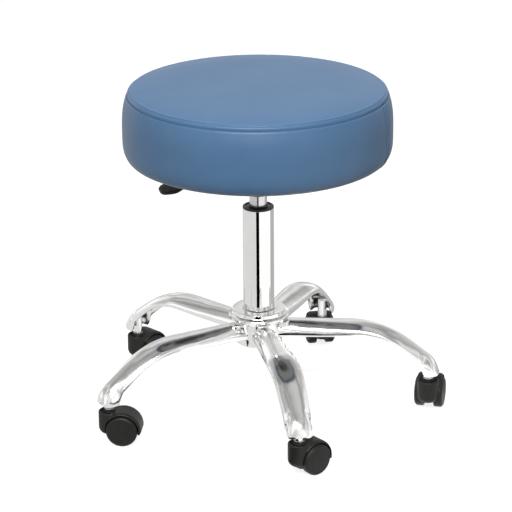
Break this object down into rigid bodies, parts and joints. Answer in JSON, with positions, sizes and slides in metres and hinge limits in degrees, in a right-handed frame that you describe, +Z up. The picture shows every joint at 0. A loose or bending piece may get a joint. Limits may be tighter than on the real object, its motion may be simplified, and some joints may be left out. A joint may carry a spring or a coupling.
{
  "type": "dentist stool",
  "caption": "Round padded swivel stool with a blue vinyl seat on a gas lift, a height lever under the seat, and a polished star base on hooded swivelling casters.",
  "frame": {"origin": "on the floor, on the column's axis", "axes": "+Z up along the column; arm 1 of the base points along -Y; the height lever points along -X"},
  "size_m": [0.5818, 0.5709, 0.545],
  "materials": {
    "polished_aluminium": "polished",
    "chrome": "mirror",
    "black_plastic": "satin moulded",
    "caster_plastic": "satin moulded",
    "bare_steel": "machined",
    "brass_cage": "machined",
    "rubber": "matt",
    "satin_steel": "ground",
    "black_paint": "satin powder coat",
    "zinc_steel": "zinc plated",
    "plywood": "raw",
    "foam": "open-cell foam",
    "blue_vinyl": "satin grained vinyl",
    "grey_cloth": "non-woven cloth"
  },
  "bodies": {
    "base": {"star_base": "polished_aluminium", "column_tube": "chrome", "guide_bush": "black_plastic", "lower_thrust_washer": "bare_steel", "thrust_ball_cage": "brass_cage", "thrust_balls": "bare_steel", "grip_rings": "bare_steel", "caster_stem_1": "zinc_steel", "caster_stem_2": "zinc_steel", "caster_stem_3": "zinc_steel", "caster_stem_4": "zinc_steel", "caster_stem_5": "zinc_steel"},
    "spindle": {"upper_thrust_washer": "bare_steel", "rubber_buffer": "rubber", "piston_rod": "bare_steel", "piston": "bare_steel", "piston_seal": "rubber", "rod_clip": "bare_steel"},
    "seat": {"pressure_tube": "satin_steel", "rod_guide": "black_plastic", "rod_seal": "rubber", "valve_body": "brass_cage", "seat_plate": "black_paint", "cone_socket": "black_paint", "plate_bolts": "zinc_steel", "bolt_washers": "zinc_steel", "tee_nuts": "zinc_steel", "lever_pin": "bare_steel", "seat_board": "plywood", "seat_foam": "foam", "seat_top_panel": "blue_vinyl", "seat_side_band": "blue_vinyl", "dust_cover": "grey_cloth", "cover_staples": "zinc_steel"},
    "lever": {"lever_rod": "black_paint", "lever_paddle": "black_plastic"},
    "release": {"release_pin": "bare_steel"},
    "caster_1": {"caster_hood_1": "caster_plastic", "caster_axle_1": "bare_steel"},
    "left_wheel_1": {"wheel_left_1": "caster_plastic"},
    "right_wheel_1": {"wheel_right_1": "caster_plastic"},
    "caster_2": {"caster_hood_2": "caster_plastic", "caster_axle_2": "bare_steel"},
    "left_wheel_2": {"wheel_left_2": "caster_plastic"},
    "right_wheel_2": {"wheel_right_2": "caster_plastic"},
    "caster_3": {"caster_hood_3": "caster_plastic", "caster_axle_3": "bare_steel"},
    "left_wheel_3": {"wheel_left_3": "caster_plastic"},
    "right_wheel_3": {"wheel_right_3": "caster_plastic"},
    "caster_4": {"caster_hood_4": "caster_plastic", "caster_axle_4": "bare_steel"},
    "left_wheel_4": {"wheel_left_4": "caster_plastic"},
    "right_wheel_4": {"wheel_right_4": "caster_plastic"},
    "caster_5": {"caster_hood_5": "caster_plastic", "caster_axle_5": "bare_steel"},
    "left_wheel_5": {"wheel_left_5": "caster_plastic"},
    "right_wheel_5": {"wheel_right_5": "caster_plastic"}
  },
  "joints": [
    {"name": "seat_swivel", "type": "hinge", "parent": "base", "child": "spindle", "pos_m": [0, 0, 0.122], "axis": [0, 0, 1], "continuous": true},
    {"name": "seat_height", "type": "slide", "parent": "spindle", "child": "seat", "axis": [0, 0, 1], "range_m": [-0.017, 0.095]},
    {"name": "lever_lift", "type": "hinge", "parent": "seat", "child": "lever", "pos_m": [-0.035, 0, 0.4055], "axis": [0, 1, 0], "range_deg": [0, 8], "stiffness_Nm_per_rad": 0.8, "springref_deg": -11.46},
    {"name": "release_press", "type": "slide", "parent": "seat", "child": "release", "axis": [0, 0, -1], "range_m": [0, 0.0055]},
    {"name": "caster_1_swivel", "type": "hinge", "parent": "base", "child": "caster_1", "pos_m": [0, -0.275, 0.04], "axis": [0, 0, 1], "continuous": true},
    {"name": "left_wheel_1_spin", "type": "hinge", "parent": "caster_1", "child": "left_wheel_1", "pos_m": [0.01871, -0.26547, 0.025], "axis": [-0.454, 0.891, 0], "continuous": true},
    {"name": "right_wheel_1_spin", "type": "hinge", "parent": "caster_1", "child": "right_wheel_1", "pos_m": [0.01871, -0.26547, 0.025], "axis": [-0.454, 0.891, 0], "continuous": true},
    {"name": "caster_2_swivel", "type": "hinge", "parent": "base", "child": "caster_2", "pos_m": [0.26154, -0.08498, 0.04], "axis": [0, 0, 1], "continuous": true},
    {"name": "left_wheel_2_spin", "type": "hinge", "parent": "caster_2", "child": "left_wheel_2", "pos_m": [0.27075, -0.0661, 0.025], "axis": [-0.8988, 0.4384, 0], "continuous": true},
    {"name": "right_wheel_2_spin", "type": "hinge", "parent": "caster_2", "child": "right_wheel_2", "pos_m": [0.27075, -0.0661, 0.025], "axis": [-0.8988, 0.4384, 0], "continuous": true},
    {"name": "caster_3_swivel", "type": "hinge", "parent": "base", "child": "caster_3", "pos_m": [0.16164, 0.22248, 0.04], "axis": [0, 0, 1], "continuous": true},
    {"name": "left_wheel_3_spin", "type": "hinge", "parent": "caster_3", "child": "left_wheel_3", "pos_m": [0.16274, 0.24345, 0.025], "axis": [-0.9986, 0.0523, 0], "continuous": true},
    {"name": "right_wheel_3_spin", "type": "hinge", "parent": "caster_3", "child": "right_wheel_3", "pos_m": [0.16274, 0.24345, 0.025], "axis": [-0.9986, 0.0523, 0], "continuous": true},
    {"name": "caster_4_swivel", "type": "hinge", "parent": "base", "child": "caster_4", "pos_m": [-0.16164, 0.22248, 0.04], "axis": [0, 0, 1], "continuous": true},
    {"name": "left_wheel_4_spin", "type": "hinge", "parent": "caster_4", "child": "left_wheel_4", "pos_m": [-0.14383, 0.23361, 0.025], "axis": [-0.5299, 0.848, 0], "continuous": true},
    {"name": "right_wheel_4_spin", "type": "hinge", "parent": "caster_4", "child": "right_wheel_4", "pos_m": [-0.14383, 0.23361, 0.025], "axis": [-0.5299, 0.848, 0], "continuous": true},
    {"name": "caster_5_swivel", "type": "hinge", "parent": "base", "child": "caster_5", "pos_m": [-0.26154, -0.08498, 0.04], "axis": [0, 0, 1], "continuous": true},
    {"name": "left_wheel_5_spin", "type": "hinge", "parent": "caster_5", "child": "left_wheel_5", "pos_m": [-0.24157, -0.09147, 0.025], "axis": [0.309, 0.9511, 0], "continuous": true},
    {"name": "right_wheel_5_spin", "type": "hinge", "parent": "caster_5", "child": "right_wheel_5", "pos_m": [-0.24157, -0.09147, 0.025], "axis": [0.309, 0.9511, 0], "continuous": true}
  ],
  "couplings": [
    {"joint": "release_press", "follows": "lever_lift", "m_per_rad": 0.0378}
  ]
}
